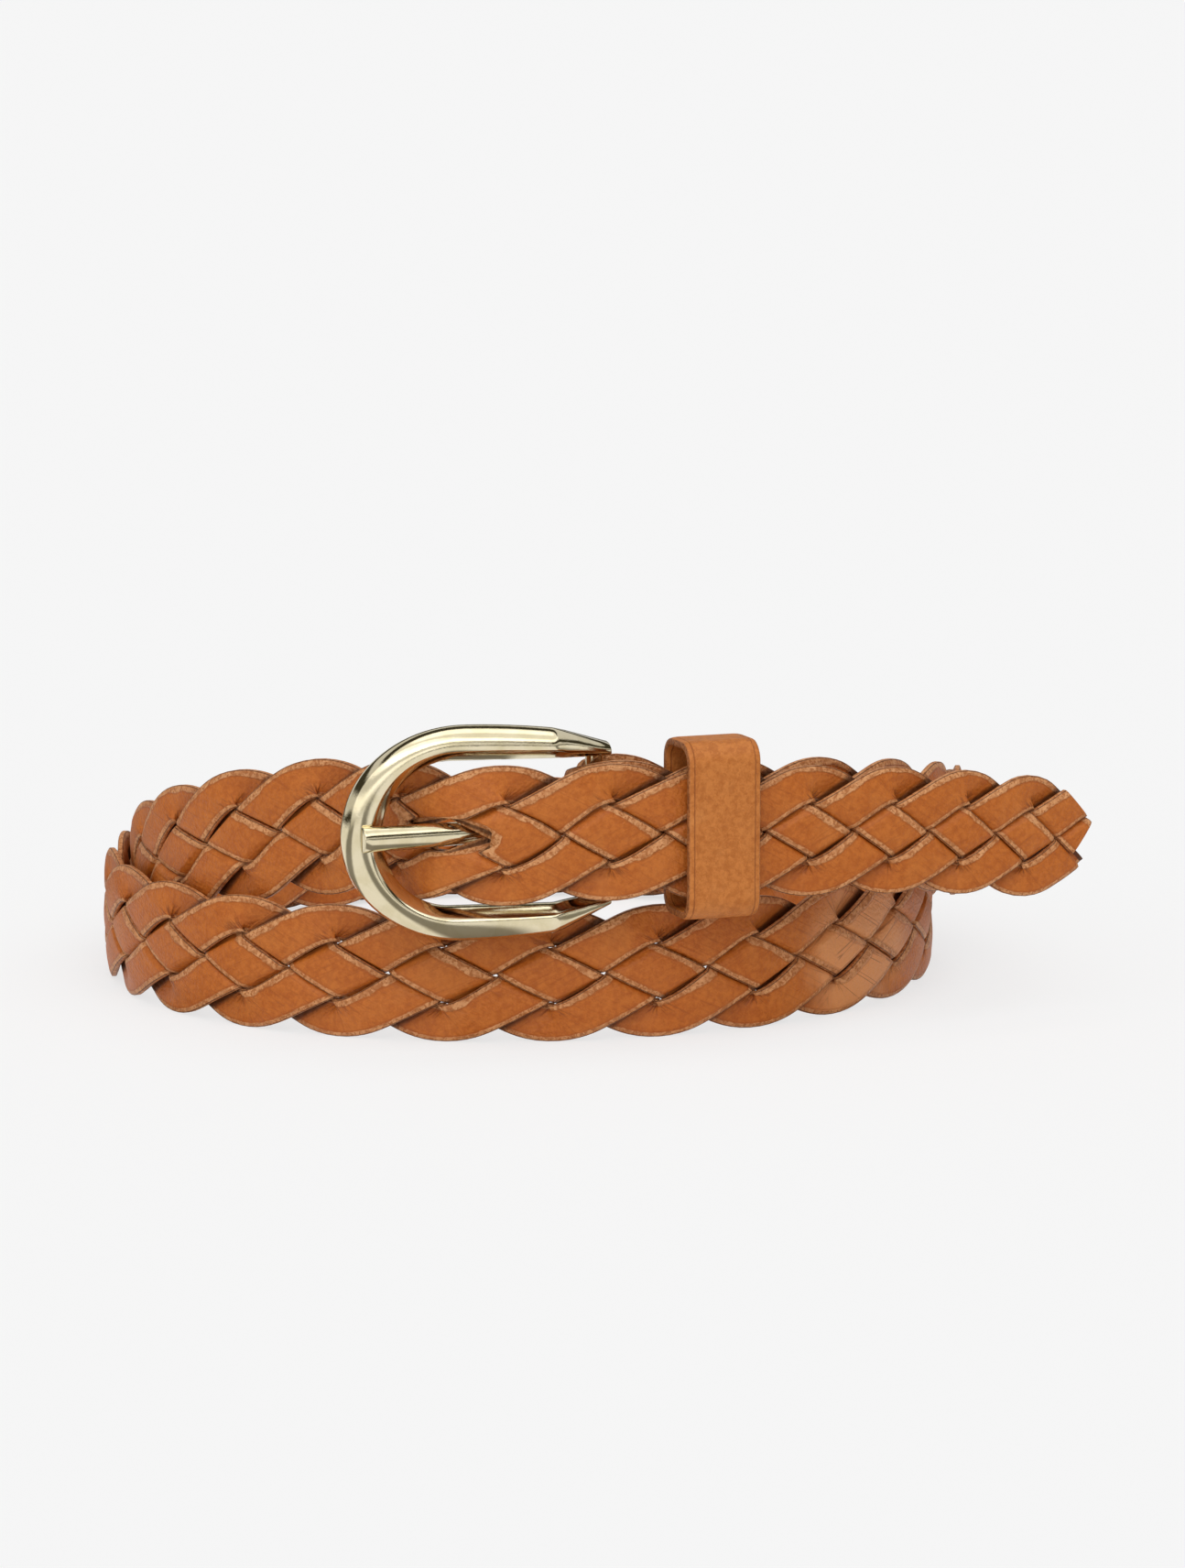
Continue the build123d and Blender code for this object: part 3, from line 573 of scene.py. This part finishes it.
def frame_half_rings():
    """Rings of the frame's upper half, from the middle of its curved end to the end of its lug."""
    outer_start, inner_start = CURVE_LENGTH - FRAME_REACH, OPENING_CURVE - OPENING_REACH
    stations = []
    for a in np.linspace(0, math.pi / 2, CURVE_RINGS):
        outer = (outer_start - CURVE_LENGTH * math.cos(a), FRAME_HALF * math.sin(a))
        inner = (inner_start - OPENING_CURVE * math.cos(a), OPENING_HALF * math.sin(a))
        stations.append((inner, outer, FRAME_BACK, FRAME_FRONT, 0.0))
    for share in ARM_RINGS:
        outer = (outer_start - share * (LUG_LENGTH + outer_start), FRAME_HALF - ARM_TAPER * share**2)
        inner = (inner_start - share * (LUG_LENGTH + inner_start), OPENING_HALF)
        stations.append((inner, outer, FRAME_BACK, FRAME_FRONT, 0.0))
    for share in LUG_RINGS:
        x = -LUG_LENGTH + share * (LUG_LENGTH + LUG_PAST)
        inner = OPENING_HALF + share * (LUG_SIDES[0] - OPENING_HALF)
        outer = FRAME_HALF - ARM_TAPER + share * (LUG_SIDES[1] - FRAME_HALF + ARM_TAPER)
        back = FRAME_BACK - share * (FRAME_BACK + LUG_DEPTH / 2)
        front = FRAME_FRONT - share * (FRAME_FRONT - LUG_DEPTH / 2)
        stations.append(((x, inner), (x, outer), back, front, min(1.0, share / LUG_CHANGE)))
    rings = []
    for inner, outer, back, front, lug in stations:
        section = (1 - lug) * np.array(FRAME_SECTION) + lug * np.array(LUG_SECTION)
        section = np.concatenate([section, section[:1]])
        inner, outer = np.array(inner), np.array(outer)
        flat = inner + section[:, :1] * (outer - inner)
        deep = back + section[:, 1:] * (front - back)
        rings.append(np.concatenate([flat, deep], 1))
    return np.array(rings)


def buckle_frame():
    """The D-shaped front, rounded outside and bevelled inside, and an arm back to the bar at each end."""
    upper = frame_half_rings()
    lower = upper[:0:-1] * np.array([1, -1, 1])
    return ring_tube("buckle_d_frame", buckle_place(np.concatenate([lower, upper])))


def prong():
    """The prong's shank, rounded on its front, from the bar to its cut end on the frame."""
    section = np.array(PRONG_SECTION + PRONG_SECTION[:1])
    rings = []
    for share in PRONG_RINGS:
        half = PRONG_HALVES[0] + share * (PRONG_HALVES[1] - PRONG_HALVES[0])
        up, deep = (2 * section[:, 0] - 1) * half, (section[:, 1] - 0.5) * PRONG_THICKNESS
        run = share * PRONG_LENGTH
        x = -run * math.cos(PRONG_SLOPE) + deep * math.sin(PRONG_SLOPE)
        z = run * math.sin(PRONG_SLOPE) + deep * math.cos(PRONG_SLOPE)
        rings.append(np.stack([x, up, z], 1))
    return ring_tube("prong_shank", buckle_place(np.array(rings)))


# ---------------------------------------------------------------- nodes
class Nodes:
    """Short ways to add and join nodes in one tree."""

    def __init__(self, tree):
        self.tree = tree

    def fill(self, socket, value):
        """Links an output to a socket, or sets the socket to a plain value."""
        if isinstance(value, bpy.types.NodeSocket):
            self.tree.links.new(value, socket)
        else:
            socket.default_value = value

    def add(self, kind, **settings):
        """A node of this kind. Capital names are its inputs, _0 its first one, and others its settings."""
        node = self.tree.nodes.new(f"ShaderNode{kind}")
        sockets = {key: value for key, value in settings.items() if key[0].isupper() or key[0] == "_"}
        for key, value in settings.items():
            if key not in sockets:
                setattr(node, key, value)
        for key, value in sockets.items():
            self.fill(node.inputs[int(key[1:]) if key[0] == "_" else key.replace("_", " ")], value)
        return node

    def group(self, tree, **values):
        """A node of a shared effect, with its inputs by name."""
        return self.add("Group", node_tree=tree, **values)

    def math(self, operation, a, b):
        return self.add("Math", operation=operation, _0=a, _1=b).outputs[0]

    def mix(self, share, a, b):
        """Mixes two colours."""
        node = self.add("Mix", data_type="RGBA", clamp_factor=True, _0=share, _6=a, _7=b)
        return node.outputs[2]

    def tint(self, color, mask, strength, other):
        """Moves a colour towards another under a mask, as far as the strength says."""
        return self.mix(self.math("MULTIPLY", mask, strength), color, other)

    def ramp(self, value, low, high):
        """0 at low, 1 at high, smooth in between."""
        limits = {"From_Min": low, "From_Max": high}
        return self.add("MapRange", interpolation_type="SMOOTHSTEP", Value=value, **limits).outputs[0]

    def band(self, value, rise, fall):
        """1 between a rise and a fall, each given as where it is 0 and where it is 1."""
        return self.math("MULTIPLY", self.ramp(value, *rise), self.ramp(value, *fall))

    def noise(self, where, scale, detail=2.0, distortion=0.0):
        """Soft noise, its scale per metre."""
        node = self.add("TexNoise", Vector=where, Scale=scale, Detail=detail, Distortion=distortion)
        return node.outputs["Fac"]

    def stretched(self, where, scale):
        """The same place with its axes scaled."""
        return self.add("Mapping", Vector=where, Scale=scale).outputs[0]

    def position(self):
        return self.add("TexCoord").outputs["Object"]

    def attribute(self, name):
        return self.add("Attribute", attribute_type="GEOMETRY", attribute_name=name).outputs["Fac"]

    def bump(self, height, strength, distance):
        return self.add("Bump", Strength=strength, Distance=distance, Height=height).outputs[0]

    def join(self, value, shader, socket):
        self.tree.links.new(value, shader.inputs[socket])


# ---------------------------------------------------------------- shared effects
def new_group(name, inputs, outputs):
    """A node group's tree, input node and output node, from (name, kind, default) and (name, kind)."""
    tree = bpy.data.node_groups.new(name, "ShaderNodeTree")
    for label, kind, default in inputs:
        socket = tree.interface.new_socket(label, in_out="INPUT", socket_type=f"NodeSocket{kind}")
        socket.default_value = default
    for label, kind in outputs:
        tree.interface.new_socket(label, in_out="OUTPUT", socket_type=f"NodeSocket{kind}")
    return tree, tree.nodes.new("NodeGroupInput"), tree.nodes.new("NodeGroupOutput")


def leather_grain_group():
    """Fine pebbled grain with pores, as a height and a colour change."""
    tree, given, result = new_group(
        "leather_grain",
        [("Vector", "Vector", (0, 0, 0)), ("Pebble Size", "Float", 0.0007)],
        [("Height", "Float"), ("Tone", "Float")],
    )
    n, where = Nodes(tree), given.outputs["Vector"]
    per_metre = n.math("DIVIDE", 1.0, given.outputs["Pebble Size"])
    pebbles = n.add("TexVoronoi", feature="SMOOTH_F1", Vector=where, Scale=per_metre, Smoothness=0.6)
    fine = n.noise(where, 3200.0, 3.0)
    cloudy = n.noise(where, 900.0, 4.0, 0.4)
    dips = n.math("MULTIPLY", pebbles.outputs["Distance"], 0.8)
    n.join(n.math("SUBTRACT", n.math("MULTIPLY", fine, 0.5), dips), result, "Height")
    tone = n.math("ADD", n.math("MULTIPLY", cloudy, 0.7), n.math("MULTIPLY", fine, 0.3))
    n.join(tone, result, "Tone")
    return tree


def raw_edge_group():
    """Cut leather: pale, fibrous and speckled with dark pores. Makes the line it starts at ragged too."""
    tree, given, result = new_group(
        "raw_edge",
        [
            ("Vector", "Vector", (0, 0, 0)),
            ("Edge", "Float", 0.0),
            ("Raggedness", "Float", 0.1),
            ("Pale", "Color", (1, 1, 1, 1)),
            ("Dark", "Color", (0, 0, 0, 1)),
        ],
        [("Color", "Color"), ("Height", "Float"), ("Ragged", "Float")],
    )
    n, where = Nodes(tree), given.outputs["Vector"]
    specks = n.noise(where, 1900.0, 4.0, 0.4)
    fibres = n.noise(where, 700.0, 3.0, 1.2)
    both = n.math("MULTIPLY", n.ramp(specks, 0.62, 0.5), n.ramp(fibres, 0.75, 0.35))
    n.join(n.mix(both, given.outputs["Dark"], given.outputs["Pale"]), result, "Color")
    n.join(specks, result, "Height")
    uneven = n.math("MULTIPLY", n.noise(where, 900.0, 3.0), given.outputs["Raggedness"])
    n.join(n.math("ADD", given.outputs["Edge"], uneven), result, "Ragged")
    return tree


def polish_group():
    """Polishing by hand on plated metal: faint cloudiness and hairline scratches."""
    tree, given, result = new_group(
        "polish",
        [("Vector", "Vector", (0, 0, 0)), ("Smooth", "Float", 0.04)],
        [("Cloud", "Float"), ("Roughness", "Float"), ("Height", "Float")],
    )
    n, where = Nodes(tree), given.outputs["Vector"]
    cloud = n.noise(where, 260.0, 4.0, 0.4)
    hairs = n.noise(n.stretched(where, (1, 1, 9)), 900.0, 4.0, 2.0)
    scratched = n.math("MULTIPLY", n.ramp(hairs, 0.6, 0.75), 0.06)
    rough = n.math("ADD", scratched, given.outputs["Smooth"])
    n.join(n.ramp(cloud, 0.35, 0.7), result, "Cloud")
    n.join(n.math("ADD", n.math("MULTIPLY", cloud, 0.06), rough), result, "Roughness")
    n.join(n.math("ADD", hairs, cloud), result, "Height")
    return tree


GRAIN = leather_grain_group()
RAW_EDGE = raw_edge_group()
POLISH = polish_group()


# ---------------------------------------------------------------- materials
STRAP_DEEP = (0.44, 0.108, 0.011, 1)
STRAP_TAN = (0.54, 0.15, 0.019, 1)
STRAP_PALE = (0.63, 0.215, 0.042, 1)
STREAK_BROWN = (0.32, 0.07, 0.008, 1)
CREASE_SHADE = (0.17, 0.035, 0.005, 1)
WORN_AND_LIT_TAN = (0.8, 0.35, 0.13, 1)
CRACK_BROWN = (0.2, 0.045, 0.008, 1)
RIM_BROWN = (0.28, 0.06, 0.01, 1)
TUCK_SHADE = (0.26, 0.05, 0.007, 1)
CREVICE_SHADE = (0.05, 0.012, 0.003, 1)
STRAP_CUT = {"Pale": (0.7, 0.33, 0.135, 1), "Dark": (0.42, 0.14, 0.035, 1)}
KEEPER_DEEP = (0.46, 0.137, 0.021, 1)
KEEPER_TAN = (0.59, 0.2, 0.04, 1)
KEEPER_PALE = (0.64, 0.25, 0.065, 1)
LINE_BROWN = (0.26, 0.06, 0.008, 1)
# the keeper's raw sides are darker than cut leather alone: partly painted shade, for its shaded inner edges
KEEPER_CUT_AND_SHADE = {"Pale": (0.42, 0.16, 0.05, 1), "Dark": (0.2, 0.06, 0.014, 1)}
GOLD = (0.8, 0.71, 0.5, 1)
GOLD_SHADOW = (0.72, 0.63, 0.41, 1)
WIRE = (0.6, 0.5, 0.32, 1)
WIRE_SHADOW = (0.45, 0.36, 0.2, 1)
THREAD_DEEP = (0.16, 0.05, 0.015, 1)
THREAD_LIGHT = (0.42, 0.19, 0.07, 1)

STRAP_PEBBLE = 0.62 * MM
KEEPER_PEBBLE = 0.45 * MM
WORN_PLACE = (0.064, -0.042, 0.012)  # on the lower turn's right bend, where the leather is dry and cracked
WORN_REACH = 20.0 * MM
WORN_FADE = (6.0 * MM, 4.0 * MM)  # past the reach, and within it
WORN_UNEVEN = 12.0 * MM


def new_material(name):
    """A material, the helper for its nodes and its Principled shader."""
    material = bpy.data.materials.new(name)
    material.use_nodes = True
    return material, Nodes(material.node_tree), material.node_tree.nodes["Principled BSDF"]


def strap_leather():
    """Tan leather: grain, fine cross creases, pale raw edges, and painted shade in folds, crevices and
    tucks.
    """
    material, n, shader = new_material("strap_leather")
    where = n.position()
    along = n.add("UVMap", uv_map="strip").outputs["UV"]
    grain = n.group(GRAIN, Vector=where, Pebble_Size=STRAP_PEBBLE)
    cross = n.stretched(along, (1, 0.14, 1))
    streaks = n.noise(cross, 1300.0, 3.0, 0.8)
    patches = n.noise(where, 120.0, 3.0, 0.5)
    folds = n.noise(n.stretched(along, (1, 0.3, 1)), 650.0, 2.0, 1.5)
    color = n.mix(n.ramp(grain.outputs["Tone"], 0.36, 0.64), STRAP_DEEP, STRAP_TAN)
    color = n.tint(color, n.ramp(patches, 0.42, 0.72), 0.32, STRAP_PALE)
    color = n.tint(color, n.ramp(streaks, 0.52, 0.74), 0.4, STREAK_BROWN)
    creased = n.math("MULTIPLY", n.ramp(n.attribute("crease"), 0.35, 0.9), n.ramp(folds, 0.53, 0.6))
    # painted shade: the leather is darkened along the folds where it wrinkles on the inside of a turn
    color = n.tint(color, creased, 0.75, CREASE_SHADE)

    # the dry place, with its cracks; its pale tan is partly painted light that lifts the shade on this
    # right-facing bend
    far = n.add("VectorMath", operation="DISTANCE", _0=where, _1=WORN_PLACE).outputs["Value"]
    far = n.math("ADD", far, n.math("MULTIPLY", patches, WORN_UNEVEN))
    worn_and_lit = n.ramp(far, WORN_REACH + WORN_FADE[0], WORN_REACH - WORN_FADE[1])
    # wear and painted light: the dry leather's tan is lifted further to make up for the shade on this bend
    color = n.tint(color, worn_and_lit, 0.75, WORN_AND_LIT_TAN)
    cracks = n.add("TexVoronoi", feature="DISTANCE_TO_EDGE", Vector=cross, Scale=260.0).outputs["Distance"]
    cracked = n.math("MULTIPLY", n.ramp(cracks, 0.03, 0.0), n.ramp(patches, 0.42, 0.55))
    color = n.tint(color, n.math("MULTIPLY", cracked, worn_and_lit), 0.6, CRACK_BROWN)

    # raw edges, wider here and there along the upper side, with a dark rim inside; then painted shade
    # towards tucks, in the crevice outside each edge and under the strands
    edge = n.attribute("edge")
    cut = n.group(RAW_EDGE, Vector=where, Edge=edge, Raggedness=0.16, **STRAP_CUT)
    upper = n.ramp(n.add("SeparateXYZ", Vector=along).outputs["Y"], -0.5 * MM, 0.5 * MM)
    wider = n.math("MULTIPLY", upper, n.math("MULTIPLY", n.ramp(patches, 0.32, 0.68), 0.25))
    ragged = n.math("ADD", cut.outputs["Ragged"], wider)
    raw = n.ramp(ragged, 0.72, 0.8)
    color = n.tint(color, n.band(ragged, (0.6, 0.68), (0.78, 0.7)), 0.3, RIM_BROWN)
    color = n.mix(raw, color, cut.outputs["Color"])
    tuck = n.attribute("tuck")
    # painted shade, deepening towards where a strand goes under its neighbour
    color = n.tint(color, n.ramp(tuck, 0.4, 0.95), 0.2, TUCK_SHADE)
    # painted shade: a dark line in the crevice at each strand's bevelled edge, darkest where a strand lies
    # fully under another
    crevice_line = n.math("MULTIPLY", n.band(edge, (0.9, 0.95), (1.0, 0.97)), 0.75)
    tucked = n.math("MULTIPLY", n.ramp(tuck, 0.94, 1.0), 0.85)
    color = n.mix(n.math("MAXIMUM", crevice_line, tucked), color, CREVICE_SHADE)

    n.join(color, shader, "Base Color")
    rough = n.math("ADD", n.math("MULTIPLY", grain.outputs["Tone"], 0.3), 0.3)
    n.join(rough, shader, "Roughness")
    relief = n.math("ADD", grain.outputs["Height"], n.math("MULTIPLY", streaks, 0.9))
    fibres = n.math("MULTIPLY", n.math("MULTIPLY", cut.outputs["Height"], raw), 2.0)
    relief = n.math("ADD", relief, fibres)
    relief = n.math("SUBTRACT", relief, n.math("MULTIPLY", creased, 1.5))
    n.join(n.bump(relief, 0.6, 0.25 * MM), shader, "Normal")
    shader.inputs["Specular IOR Level"].default_value = 0.3
    return material


def keeper_leather():
    """Smoother, paler leather: a fine grain, a pressed line along each edge, and raw sides darkened partly
    with painted shade.
    """
    material, n, shader = new_material("keeper_leather")
    where = n.position()
    grain = n.group(GRAIN, Vector=where, Pebble_Size=KEEPER_PEBBLE)
    patches = n.noise(where, 160.0, 3.0, 0.5)
    color = n.mix(n.ramp(grain.outputs["Tone"], 0.36, 0.64), KEEPER_DEEP, KEEPER_TAN)
    color = n.tint(color, n.ramp(patches, 0.44, 0.72), 0.35, KEEPER_PALE)
    # the raw sides' colours hold painted shade as well as the cut leather's own tone
    cut = n.group(RAW_EDGE, Vector=where, Edge=n.attribute("edge"), Raggedness=0.1, **KEEPER_CUT_AND_SHADE)
    ragged = cut.outputs["Ragged"]
    line = n.band(ragged, (0.32, 0.4), (0.52, 0.44))
    color = n.tint(color, line, 0.6, LINE_BROWN)
    color = n.mix(n.ramp(ragged, 0.94, 1.0), color, cut.outputs["Color"])
    n.join(color, shader, "Base Color")
    rough = n.math("ADD", n.math("MULTIPLY", grain.outputs["Tone"], 0.25), 0.36)
    n.join(rough, shader, "Roughness")
    relief = n.math("SUBTRACT", grain.outputs["Height"], n.math("MULTIPLY", line, 2.0))
    n.join(n.bump(relief, 0.5, 0.2 * MM), shader, "Normal")
    shader.inputs["Specular IOR Level"].default_value = 0.3
    return material


def polished_metal(name, color, shadow, smooth):
    """Plated metal, polished by hand."""
    material, n, shader = new_material(name)
    polish = n.group(POLISH, Vector=n.position(), Smooth=smooth)
    n.join(n.mix(polish.outputs["Cloud"], color, shadow), shader, "Base Color")
    n.join(polish.outputs["Roughness"], shader, "Roughness")
    n.join(n.bump(polish.outputs["Height"], 0.06, 0.1 * MM), shader, "Normal")
    shader.inputs["Metallic"].default_value = 1.0
    return material


def waxed_thread():
    """Brown thread: its twisted plies show as slanting bands."""
    material, n, shader = new_material("thread")
    plies = n.add("TexWave", Vector=n.position(), Scale=700.0, Distortion=1.5, Detail=2.0).outputs["Fac"]
    n.join(n.mix(plies, THREAD_DEEP, THREAD_LIGHT), shader, "Base Color")
    n.join(n.bump(plies, 0.6, 0.1 * MM), shader, "Normal")
    shader.inputs["Roughness"].default_value = 0.6
    return material


# ---------------------------------------------------------------- the pieces
gold = polished_metal("polished_metal", GOLD, GOLD_SHADOW, 0.04)

for node, material in (
    ("buckle_bar", gold),
    ("keeper_staple", polished_metal("staple_wire", WIRE, WIRE_SHADOW, 0.22)),
    ("fold_stitching", waxed_thread()),
):
    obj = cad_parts[node]
    obj.data.materials.clear()
    obj.data.materials.append(material)

for piece, material, body, node, slot in (
    (keeper(), keeper_leather(), "keeper", "keeper_band", "keeper_leather"),
    (buckle_frame(), gold, "buckle", "buckle_frame", "polished_metal"),
    (prong(), gold, "prong_body", "prong", "polished_metal"),
):
    piece.data.materials.append(material)
    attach(piece, body)
    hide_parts(node)

leather = strap_leather()
for index in range(STRANDS):
    piece = strand(index)
    piece.data.materials.append(leather)
    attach(piece, "strap")
    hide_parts(f"strand_{index + 1}")

# ---------------------------------------------------------------- floor, light and camera
PALE = (0.92, 0.92, 0.92, 1)  # the background, as the camera sees it
FLOOR_COLOR = (0.88, 0.88, 0.88, 1)
FLOOR_SIZE = 60.0
FLOOR_GLOW = 0.972
FLOOR_SHARE = 0.7  # how much of the floor that the camera sees is glow, which keeps no shadow
FLOOR_SHINE = 0.75  # and how much of it polished metal sees as panels
PANEL_WHITE = (1, 1, 1, 1)
PANEL_GAP = (0.1, 0.09, 0.06, 1)
SKY_PANEL = (0.7, 0.7, 0.7, 1)
SKY_GAP = (0.05, 0.045, 0.03, 1)
EVEN_LIGHT = 0.35
SUN_SPREAD = math.radians(85)
CAMERA_DISTANCE = 1.05
CAMERA_PITCH = math.radians(9)
CAMERA_LENS = 127
AIM = Vector((0.0145, 0.0, 0.035))


def floor_material():
    """A pale floor that keeps the object's soft shadow. The camera sees it part plain, and metal sees
    glowing bands.
    """
    material, n, shader = new_material("pale_floor")
    shader.inputs["Base Color"].default_value = FLOOR_COLOR
    shader.inputs["Roughness"].default_value = 1.0
    shader.inputs["Specular IOR Level"].default_value = 0.0
    path = n.add("LightPath")
    glow = n.add("Emission", Color=(1, 1, 1, 1), Strength=FLOOR_GLOW)
    share = n.math("MULTIPLY", path.outputs["Is Camera Ray"], FLOOR_SHARE)
    plain = n.add("MixShader", _0=share, _1=shader.outputs[0], _2=glow.outputs[0])
    # painted reflections: for glossy rays the floor glows in bands, though it is no lamp
    outwards = n.add("VectorMath", operation="NORMALIZE", _0=n.position()).outputs[0]
    bands = n.add("TexWave", bands_direction="X", Vector=outwards, Scale=0.42, Distortion=1.0)
    panels = n.mix(n.ramp(bands.outputs["Fac"], 0.14, 0.44), PANEL_GAP, PANEL_WHITE)
    banded = n.add("Emission", Color=panels, Strength=1.0)
    shine = n.math("MULTIPLY", path.outputs["Is Glossy Ray"], FLOOR_SHINE)
    both = n.add("MixShader", _0=shine, _1=plain.outputs[0], _2=banded.outputs[0])
    n.join(both.outputs[0], material.node_tree.nodes["Material Output"], "Surface")
    return material


def studio():
    """An even light. Polished metal sees pale panels with darker gaps, and the camera a pale white."""
    world = bpy.data.worlds.new("studio")
    world.use_nodes = True
    n = Nodes(world.node_tree)
    around = n.add("TexCoord").outputs["Generated"]
    bands = n.add("TexWave", bands_direction="Z", Vector=around, Scale=0.75, Distortion=3.2, Detail=1.0)
    panels = n.mix(n.ramp(bands.outputs["Fac"], 0.42, 0.66), SKY_GAP, SKY_PANEL)
    even = n.add("Background", Color=(1, 1, 1, 1), Strength=EVEN_LIGHT)
    shiny = n.add("Background", Color=panels, Strength=1.0)
    seen = n.add("Background", Color=PALE, Strength=1.0)
    path = n.add("LightPath")
    lit = n.add("MixShader", _0=path.outputs["Is Glossy Ray"], _1=even.outputs[0], _2=shiny.outputs[0])
    sky = n.add("MixShader", _0=path.outputs["Is Camera Ray"], _1=lit.outputs[0], _2=seen.outputs[0])
    n.join(sky.outputs[0], world.node_tree.nodes["World Output"], "Surface")
    return world


bm = bmesh.new()
bmesh.ops.create_grid(bm, x_segments=1, y_segments=1, size=FLOOR_SIZE)
floor = new_object("floor", bm)
floor.data.materials.append(floor_material())

scene = bpy.context.scene
for name, source, strength in (("overhead", (0.15, -0.35, 1.0), 1.4), ("front", (-0.45, -1.0, 0.5), 1.0)):
    lamp = bpy.data.objects.new(name, bpy.data.lights.new(name, "SUN"))
    lamp.data.angle = SUN_SPREAD
    lamp.data.energy = strength
    lamp.rotation_euler = Vector(source).to_track_quat("Z", "Y").to_euler()
    scene.collection.objects.link(lamp)

camera = bpy.data.objects.new("camera", bpy.data.cameras.new("camera"))
camera.data.lens = CAMERA_LENS
back = Vector((0, -math.cos(CAMERA_PITCH), math.sin(CAMERA_PITCH)))
camera.location = AIM + CAMERA_DISTANCE * back
camera.rotation_euler = (math.pi / 2 - CAMERA_PITCH, 0, 0)
scene.collection.objects.link(camera)
scene.camera = camera
scene.world = studio()
scene.view_settings.view_transform = "Standard"
